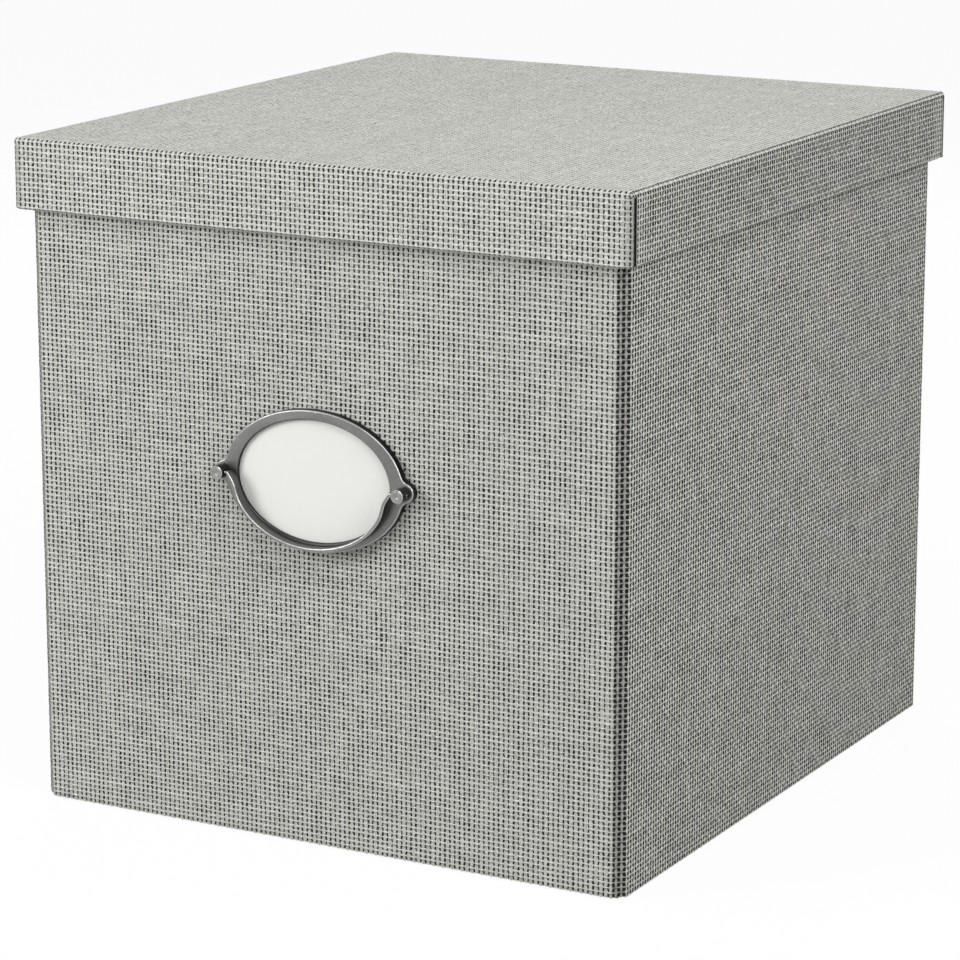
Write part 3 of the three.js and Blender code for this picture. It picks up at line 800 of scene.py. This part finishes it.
def relief(u, v, crest_u, crest_v, depth=1.0):
    """Height of the cloth at lattice points: yarns cross over and under, and sink to the gaps."""
    upright_wave = np.sin(math.pi * v)[:, None] * np.cos(math.pi * np.floor(u))[None, :]
    level_wave = np.sin(math.pi * u)[None, :] * np.cos(math.pi * np.floor(v))[:, None]
    upright = UPRIGHT_CREST + UPRIGHT_WAVE * upright_wave
    level = LEVEL_CREST - LEVEL_WAVE * level_wave
    on_u = crest_u[None, :]
    on_v = crest_v[:, None]
    height = np.full((len(v), len(u)), -GAP_DEPTH)
    height = np.where(on_u & ~on_v, upright, height)
    height = np.where(~on_u & on_v, level, height)
    return depth * np.where(on_u & on_v, np.maximum(upright, level), height)


def smooth_jitter(rng, lines, length, size, every=9):
    """A small wander for each yarn line along its length."""
    coarse = rng.normal(0.0, size, (lines, length // every + 3))
    at = np.arange(length) / every
    return np.stack([np.interp(at, np.arange(coarse.shape[1]), row) for row in coarse])


def edge_fade(count, margin=5):
    """Zero at both ends and one inside, so that neighbouring pieces of cloth meet."""
    at = np.arange(count)
    return np.clip(np.minimum(at, count - 1 - at) / margin, 0, 1)


def sort_by_points(shape):
    """Gives edges and faces an order that is the same each run, which an extrusion doesn't."""
    shape.verts.index_update()
    weight = 10.0 * len(shape.verts)

    def order(part):
        places = [vert.index for vert in part.verts]
        return weight * min(places) + sum(places)

    for elements in (shape.edges, shape.faces):
        elements.sort(key=order)
        elements.index_update()


def surface_mesh(name, positions, lattice, bake, marks, close_rows, finish_shape=None):
    """A grid laid over an array of positions, closed, with its lattice map and its map for baking."""
    rows, columns = positions.shape[:2]
    shape = bmesh.new()
    bmesh.ops.create_grid(shape, x_segments=columns - 1, y_segments=rows - 1, size=1.0)
    lattice_layer = shape.loops.layers.uv.new(LATTICE_MAP)
    bake_layer = shape.loops.layers.uv.new(BAKE_MAP)
    flat_lattice = lattice.reshape(-1, 2).tolist()
    flat_bake = bake.reshape(-1, 2).tolist()
    for face in shape.faces:
        for loop in face.loops:
            index = loop.vert.index
            loop[lattice_layer].uv = flat_lattice[index]
            loop[bake_layer].uv = flat_bake[index]
    for vert, place in zip(shape.verts, (positions * MM).reshape(-1, 3).tolist()):
        vert.co = place
    for key, values in marks.items():
        layer = shape.verts.layers.float.new(key)
        for vert, value in zip(shape.verts, values.ravel().tolist()):
            vert[layer] = value
    if close_rows:
        shape.verts.ensure_lookup_table()
        ends = list(shape.verts[:columns]) + list(shape.verts[-columns:])
        bmesh.ops.remove_doubles(shape, verts=ends, dist=1e-7)
    if finish_shape:
        finish_shape(shape)
    open_edges = [e for e in shape.edges if e.is_boundary]
    caps = bmesh.ops.holes_fill(shape, edges=open_edges, sides=0)["faces"]
    for number, cap in enumerate(caps):
        places = np.array([loop.vert.co for loop in cap.loops])
        spans = np.ptp(places, axis=0)
        long_axis, short_axis = np.argsort(-spans)[:2]
        low = places.min(axis=0)
        for loop, place in zip(cap.loops, places):
            a = (place[long_axis] - low[long_axis]) / spans[long_axis]
            b = (place[short_axis] - low[short_axis]) / max(spans[short_axis], 1e-6)
            loop[bake_layer].uv = (
                CAP_BAKE_LEFT + CAP_BAKE_WIDTH * a + CAP_BAKE_STEP * (number % 2),
                CAP_BAKE_LOW + CAP_BAKE_HEIGHT * b,
            )
            loop[lattice_layer].uv = (
                place[short_axis] / (UPRIGHT_PITCH * MM) + 0.3,
                place[long_axis] / (LEVEL_PITCH * MM),
            )
    bmesh.ops.recalc_face_normals(shape, faces=shape.faces[:])
    for face in shape.faces:
        face.smooth = True
    mesh = bpy.data.meshes.new(name)
    shape.to_mesh(mesh)
    shape.free()
    mesh.set_sharp_from_angle(angle=math.radians(72))
    mesh.materials.append(WEAVE)
    return new_object(name, mesh)


def across_grid(values, rows):
    """A row of values, repeated in every row of a grid."""
    return np.repeat(values[None, :], rows, axis=0)


def up_grid(values, columns):
    """A column of values, repeated in every column of a grid."""
    return np.repeat(values[:, None], columns, axis=1)


def quarter_turns(positions, turns):
    """Positions turned about the box's upright axis, to one of its four sides."""
    for _ in range(turns):
        positions = np.dstack([-positions[..., 1], positions[..., 0], positions[..., 2]])
    return positions


def fading(value, end, width):
    """One until a width before the end, and zero from the end on."""
    return np.clip((end - value) / width, 0, 1)


def wander(rng, height, crest_u, crest_v, fade_u, fade_v):
    """How far each mesh point is moved in the plane of the cloth: yarns wander, and the gaps are ragged."""
    rows, columns = height.shape
    fade = fade_v[:, None] * fade_u[None, :]
    aside = smooth_jitter(rng, columns, rows, SPACING_JITTER).T
    upward = smooth_jitter(rng, rows, columns, SPACING_JITTER)
    ragged = rng.normal(0.0, SURFACE_JITTER, (2, rows, columns))
    bumpy = rng.normal(0.0, SURFACE_JITTER, (rows, columns))
    return (aside + ragged[0]) * fade, (upward + ragged[1]) * fade, bumpy * fade


def body_panel(name, half_length, offset, turns, upper, seed):
    """Half the height of one wall's cloth, from the middle of a corner strip to the middle of the next."""
    leg = CORNER_LEG
    plan = rounded_path(
        [
            (-half_length + leg / 2, -offset + leg / 2),
            (-half_length + leg, -offset),
            (half_length - leg, -offset),
            (half_length - leg / 2, -offset + leg / 2),
        ],
        FOLD_RADIUS,
        -1,
    )
    profile = rounded_path(
        [
            (TURN_UNDER, BODY_LOW),
            (0.0, BODY_LOW),
            (0.0, BODY_TOP),
            (TURN_IN_INSET, BODY_TOP),
            (TURN_IN_INSET, TURN_IN_BOTTOM),
        ],
        FOLD_RADIUS,
        1,
    )
    total = plan["far"][-1]
    across_count = 2 * round(total / UPRIGHT_PITCH / 2)
    pitch_u = total / across_count
    sideways = turns % 2
    half = SIDE_UPRIGHT_HALF if sideways else UPRIGHT_HALF
    u, crest_u = yarn_lines(0, across_count, half, CORNER_YARN_HALF)
    s = u * pitch_u
    from_corner = np.minimum(u, across_count - u)
    in_strip = fading(from_corner, STRIP_END, STRIP_FADE)
    sag = CORNER_SAG * fading(from_corner, SAG_END, SAG_FADE)

    start = TURN_UNDER - FOLD_RADIUS
    end = profile["far"][-1] - (BODY_TOP - TURN_IN_BOTTOM) + FOLD_RADIUS
    up_count = round((end - start) / LEVEL_PITCH)
    pitch_v = (end - start) / up_count
    middle = up_count // 2
    plain_rows = 7
    if upper:
        v, crest_v = yarn_lines(middle, up_count, LEVEL_HALF)
        hem = np.linspace(end, profile["far"][-1], plain_rows)[1:]
        outer = np.concatenate([start + v * pitch_v, hem])
    else:
        v, crest_v = yarn_lines(0, middle, LEVEL_HALF)
        hem = np.linspace(0.0, start, plain_rows)[:-1]
        outer = np.concatenate([hem, start + v * pitch_v])
    height = relief(u, v, crest_u, crest_v)
    rng = np.random.default_rng(seed)
    aside, upward, bumpy = wander(rng, height, crest_u, crest_v, edge_fade(len(u)), edge_fade(len(v)))
    blank = np.zeros((plain_rows - 1, len(u)))

    def with_hem(woven):
        return np.vstack([woven, blank] if upper else [blank, woven])

    height = with_hem(height + bumpy)
    aside = with_hem(aside)
    upward = with_hem(upward)

    key_distances = profile["far"][(profile["far"] > outer[0]) & (profile["far"] < outer[-1])][::-2]
    inner = np.concatenate([[outer[-1]], key_distances, [outer[0]]])
    t = np.concatenate([outer, inner, [outer[0]]])
    rows = len(t)
    lift = np.zeros((rows, len(u)))
    lift[: len(outer)] = height
    lift[len(outer): -1] = -CLOTH_THICKNESS
    lift[-1] = height[0]
    lift -= sag[None, :]
    s_grid = across_grid(s, rows)
    t_grid = up_grid(t, len(s))
    s_grid[: len(outer)] += aside
    t_grid[: len(outer)] += upward
    s_grid[-1] += aside[0]
    t_grid[-1] += upward[0]

    foot = along(plan, "point", s_grid)
    out = along(plan, "normal", s_grid)
    mitre = along(plan, "mitre", s_grid)
    section = along(profile, "point", t_grid)
    facing = along(profile, "normal", t_grid)
    inset = section[..., 0:1]
    level = foot + mitre * inset - out * facing[..., 0:1] * lift[..., None]
    high = section[..., 1] + facing[..., 1] * lift
    positions = quarter_turns(np.dstack([level, high]), turns)

    lattice = np.dstack([across_grid(u, rows), up_grid((t - start) / pitch_v, len(u))])
    share = np.concatenate([
        CLOTH_BAKE_HEIGHT * (outer - outer[0]) / (outer[-1] - outer[0]),
        INNER_BAKE_LOW + INNER_BAKE_HEIGHT * np.linspace(0, 1, len(inner) + 1),
    ])
    bake = np.dstack([
        across_grid(BAKE_MARGIN + BAKE_WIDTH * u / across_count, rows),
        up_grid(BODY_BAKE_MARGIN + share, len(u)),
    ])
    # On the side walls the wide dark slots and lighter yarns are painted shade and light
    slots_and_painted_light = np.maximum(in_strip, SIDE_PAINTED_SLOTS_AND_LIGHT * sideways)
    marks = {
        SLOTS_AND_PAINTED_LIGHT: across_grid(slots_and_painted_light, rows),
        # Painted shade on the corner strips
        SHADE: across_grid(STRIP_SHADE * in_strip, rows),
    }
    piece = surface_mesh(name, positions, lattice, bake, marks, close_rows=True)
    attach(piece, "box_body")
    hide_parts("body_fabric_cover")


for side, (label, half_length, offset) in enumerate([
    ("front", BODY_WIDTH / 2, BODY_DEPTH / 2),
    ("right", BODY_DEPTH / 2, BODY_WIDTH / 2),
    ("back", BODY_WIDTH / 2, BODY_DEPTH / 2),
    ("left", BODY_DEPTH / 2, BODY_WIDTH / 2),
]):
    body_panel(f"body_cloth_{label}_lower", half_length, offset, side, False, 10 + side)
    body_panel(f"body_cloth_{label}_upper", half_length, offset, side, True, 20 + side)


def fold_drop(excess):
    """How far out and down the cloth is, and its lean, at a length past the flat over a rounded edge."""
    arc = LID_EDGE_RADIUS * math.pi / 2
    angle = np.clip(excess, 0, arc) / LID_EDGE_RADIUS
    out = LID_EDGE_RADIUS * np.sin(angle)
    down = LID_EDGE_RADIUS * (1 - np.cos(angle)) + np.maximum(excess - arc, 0)
    return out, down, angle


# The lid's top: length of cloth past the flat, and numbers of yarns across it and from front to back
LID_WRAP = LID_EDGE_RADIUS * math.pi / 2 + OVERALL_HEIGHT - LID_EDGE_RADIUS - LID_SEAM_HEIGHT
LID_ACROSS = 128
LID_BACK = 150
LID_FLAT_X = LID_WIDTH / 2 - LID_EDGE_RADIUS
LID_FLAT_Y = LID_DEPTH / 2 - LID_EDGE_RADIUS
LID_PITCH_X = 2 * (LID_FLAT_X + LID_WRAP) / LID_ACROSS
LID_PITCH_Y = 2 * (LID_FLAT_Y + LID_WRAP) / LID_BACK


def lid_top_half(name, side, seed):
    """Half of the lid's top, with the cloth folded over its edges down to the seam with the rims."""
    low, high = (0, LID_ACROSS // 2) if side > 0 else (-LID_ACROSS // 2, 0)
    u, crest_u = yarn_lines(low, high, UPRIGHT_HALF)
    v, crest_v = yarn_lines(-LID_BACK // 2, LID_BACK // 2, LEVEL_HALF)
    height = relief(u, v, crest_u, crest_v, TOP_RELIEF)
    rng = np.random.default_rng(seed)
    aside, upward, bumpy = wander(rng, height, crest_u, crest_v, edge_fade(len(u)), edge_fade(len(v)))
    height = height + bumpy
    x = u[None, :] * LID_PITCH_X + aside
    y = v[:, None] * LID_PITCH_Y + upward
    past_x = np.maximum(np.abs(x) - LID_FLAT_X, 0)
    past_y = np.maximum(np.abs(y) - LID_FLAT_Y, 0)
    past = np.maximum(past_x, past_y)
    out, down, angle = fold_drop(past)
    safe = np.maximum(past, TINY)
    share = np.dstack([past_x / safe, past_y / safe])
    size = np.maximum(np.linalg.norm(share, axis=2), TINY)
    flat_x = np.clip(np.abs(x), 0, LID_FLAT_X)
    flat_y = np.clip(np.abs(y), 0, LID_FLAT_Y)
    place_x = flat_x + out * share[..., 0]
    place_y = flat_y + out * share[..., 1]
    corner_x = np.maximum(place_x - (LID_WIDTH / 2 - LID_CORNER_RADIUS), 0)
    corner_y = np.maximum(place_y - (LID_DEPTH / 2 - LID_CORNER_RADIUS), 0)
    reach = np.hypot(corner_x, corner_y)
    keep = np.where(reach > TINY, np.maximum(corner_x, corner_y) / np.maximum(reach, TINY), 1.0)
    place_x += corner_x * (keep - 1)
    place_y += corner_y * (keep - 1)
    place_x += height * np.sin(angle) * share[..., 0] / size
    place_y += height * np.sin(angle) * share[..., 1] / size
    place_z = OVERALL_HEIGHT - down + height * np.cos(angle)
    place_z[0], place_z[-1] = LID_SEAM_HEIGHT, LID_SEAM_HEIGHT
    place_z[:, -1 if side > 0 else 0] = LID_SEAM_HEIGHT
    positions = np.dstack([place_x * np.sign(x + 1e-12 * side), place_y * np.sign(y), place_z])
    lattice = np.dstack([across_grid(u, len(v)), up_grid(v, len(u))])
    share_u = (u - low) / (high - low)
    share_v = (v + LID_BACK / 2) / LID_BACK
    bake = np.dstack([
        up_grid(BAKE_MARGIN + CLOTH_BAKE_HEIGHT * share_v, len(u)),
        across_grid(BAKE_MARGIN + TOP_BAKE_HEIGHT * share_u, len(v)),
    ])

    def close_under(shape):
        """A lip under the edge and up to the board, which closes the piece."""
        lip_x = (LID_WIDTH / 2 - RIM_THICKNESS + LIP_OVERLAP) * MM
        lip_y = (LID_DEPTH / 2 - RIM_THICKNESS + LIP_OVERLAP) * MM
        cap_height = (LID_SEAM_HEIGHT + LIP_RISE) * MM
        edges = [e for e in shape.edges if e.is_boundary]
        for cut_up in (False, True):
            made = bmesh.ops.extrude_edge_only(shape, edges=edges)["geom"]
            for vert in (g for g in made if isinstance(g, bmesh.types.BMVert)):
                vert.co.x = max(-lip_x, min(lip_x, vert.co.x))
                vert.co.y = max(-lip_y, min(lip_y, vert.co.y))
                at_seam = vert.co.z > cap_height
                vert.co.z = cap_height if cut_up or at_seam else LID_SEAM_HEIGHT * MM
            edges = [g for g in made if isinstance(g, bmesh.types.BMEdge)]
        sort_by_points(shape)

    side_slots = SIDE_EDGE_SLOTS * np.clip(past_x / EDGE_REACH, 0, 1)
    front_slots = FRONT_EDGE_SLOTS * np.clip(past_y / EDGE_REACH, 0, 1)
    marks = {
        SLOTS_AND_PAINTED_LIGHT: TOP_SLOT_SHARE + side_slots + front_slots,
        # Painted light: the top a little lighter, fading out over its edges
        SHADE: TOP_PAINTED_LIGHT * (1 - np.clip(past / EDGE_REACH, 0, 1)),
    }
    piece = surface_mesh(name, positions, lattice, bake, marks, close_rows=False, finish_shape=close_under)
    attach(piece, "lid")
    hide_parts("lid_fabric_cover")


lid_top_half("lid_cloth_top_left", -1, 31)
lid_top_half("lid_cloth_top_right", 1, 32)


def rim_pad(name, half_length, offset, turns, pitch, seed, shift=0.0):
    """One rim of the lid, wrapped in cloth on its outside, underside, inside and ends."""
    profile = rounded_path(
        [
            (0.0, LID_SEAM_HEIGHT),
            (0.0, RIM_BOTTOM),
            (RIM_THICKNESS, RIM_BOTTOM),
            (RIM_THICKNESS, LID_SEAM_INSIDE),
        ],
        FOLD_RADIUS,
        -1,
    )
    sideways = turns % 2
    end_radius = SIDE_PAD_END if sideways else FRONT_PAD_END
    straight = half_length - end_radius
    reach = straight + end_radius * math.pi / 2
    count = int(reach / pitch) + 1
    u, crest_u = yarn_lines(-count, count, SIDE_UPRIGHT_HALF if sideways else UPRIGHT_HALF)
    inside = np.abs(u * pitch) < reach - END_CLEARANCE
    u, crest_u = u[inside], crest_u[inside]
    u = np.concatenate([[-reach / pitch], u, [reach / pitch]])
    crest_u = np.concatenate([[False], crest_u, [False]])
    s = u * pitch
    face_end = LID_SEAM_HEIGHT - RIM_BOTTOM + RIM_THICKNESS - FOLD_RADIUS
    rows_count = round(face_end / LEVEL_PITCH)
    pitch_v = face_end / rows_count
    v, crest_v = yarn_lines(0, rows_count, LEVEL_HALF)
    height = relief(u, v, crest_u, crest_v)
    rng = np.random.default_rng(seed)
    aside, upward, bumpy = wander(rng, height, crest_u, crest_v, edge_fade(len(u)), edge_fade(len(v)))
    plain_rows = 7
    plain = np.linspace(v[-1] * pitch_v, profile["far"][-1], plain_rows + 1)[1:]
    outer = np.concatenate([v * pitch_v, plain])
    t = np.concatenate([outer, [0.0]])
    rows = len(t)
    lift = np.zeros((rows, len(u)))
    lift[: len(v)] = height + bumpy
    lift[-1] = lift[0]
    s_grid = across_grid(s, rows)
    t_grid = up_grid(t, len(u))
    s_grid[: len(v)] += aside
    t_grid[: len(v)] += upward
    s_grid[-1] = s_grid[0]
    t_grid[-1] = t_grid[0]
    past = np.clip((np.abs(s_grid) - straight) / end_radius, 0, math.pi / 2)
    long = (np.clip(np.abs(s_grid), 0, straight) + end_radius * np.sin(past)) * np.sign(s_grid) + shift
    section = along(profile, "point", t_grid)
    facing = along(profile, "normal", t_grid)
    end_depth = SIDE_PAD_END + (end_radius - SIDE_PAD_END) * np.clip(-facing[..., 0], 0, 1)
    inset = end_depth * (1 - np.cos(past))
    round_end = past / (math.pi / 2)
    lift = lift * np.cos(past) * (1 - END_FLATTENING * round_end) - inset
    deep = section[..., 0] + facing[..., 0] * lift
    high = section[..., 1] + facing[..., 1] * lift
    positions = quarter_turns(np.dstack([long, -offset + deep, high]), turns)
    lattice = np.dstack([across_grid(u, rows), up_grid(-t / pitch_v, len(u))])
    share = np.concatenate([RIM_BAKE_HEIGHT * t[:-1] / t[-2], [RIM_BAKE_END]])
    bake = np.dstack([
        across_grid(BAKE_MARGIN + BAKE_WIDTH * (u - u[0]) / (u[-1] - u[0]), rows),
        up_grid(BAKE_MARGIN + share, len(u)),
    ])
    to_end = half_length - np.abs(long - shift)
    crowded = np.clip(1 - to_end / CROWDED_REACH[sideways], 0, 1)
    # Painted shade: the slits' sides black, fainter at the back, the rounded ends darker as they turn, and
    # the front rims darker near the corners
    slit_painted_shade = np.clip((round_end - SLIT_START[sideways]) / SLIT_FADE, 0, 1)
    at_back = sideways * (s_grid * shift > 0)
    slit_painted_shade = slit_painted_shade * np.where(at_back, BACK_SLIT_SHARE, 1.0)
    turned = END_SHADE[sideways] * round_end
    if not sideways:
        by_corner = np.clip(CORNER_SHADE_START - to_end / CORNER_SHADE_REACH, 0, 1)
        turned = np.maximum(turned, CORNER_SHADE * by_corner)
    # Painted light on the front and back rims, and painted shade on the side rims
    rim_painted_light = SIDE_RIM_PAINTED_SHADE if sideways else FRONT_RIM_PAINTED_LIGHT
    # On the side rims the wide dark slots and lighter yarns are painted shade and light
    side_painted_slots = SIDE_PAINTED_SLOTS_AND_LIGHT * sideways
    marks = {
        SLOTS_AND_PAINTED_LIGHT: side_painted_slots + CROWDED_SLOTS * crowded + END_SLOTS[sideways] * round_end,
        SHADE: np.minimum(SLIT_SHADE, rim_painted_light + np.maximum(SLIT_SHADE * slit_painted_shade, turned)),
    }
    piece = surface_mesh(name, positions, lattice, bake, marks, close_rows=True)
    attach(piece, "lid")
    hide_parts("lid_fabric_cover")


SIDE_RIM_HALF = (SIDE_RIM_BACK + SIDE_RIM_FRONT) / 2
SIDE_RIM_SHIFT = (SIDE_RIM_BACK - SIDE_RIM_FRONT) / 2
rim_pad("lid_cloth_front_rim", LID_WIDTH / 2, LID_DEPTH / 2, 0, LID_PITCH_X, 41)
rim_pad("lid_cloth_right_rim", SIDE_RIM_HALF, LID_WIDTH / 2, 1, LID_PITCH_Y, 42, SIDE_RIM_SHIFT)
rim_pad("lid_cloth_back_rim", LID_WIDTH / 2, LID_DEPTH / 2, 2, LID_PITCH_X, 43)
rim_pad("lid_cloth_left_rim", SIDE_RIM_HALF, LID_WIDTH / 2, 3, LID_PITCH_Y, 44, -SIDE_RIM_SHIFT)


# Finishes of the CAD pieces

for row in frame["record"]["subparts"]:
    node = nodes[row["node"]]
    slot = row["material_slot"]
    if slot in FINISH:
        node.data.materials.clear()
        node.data.materials.append(PIECE_FINISH.get(row["node"], FINISH[slot]))
    if slot in ("gunmetal", "plated_steel"):
        for face in node.data.polygons:
            face.use_smooth = True
        weld = node.modifiers.new("weld", "WELD")
        weld.merge_threshold = 0.005 * MM
        split = node.modifiers.new("edges", "EDGE_SPLIT")
        split.split_angle = math.radians(32)
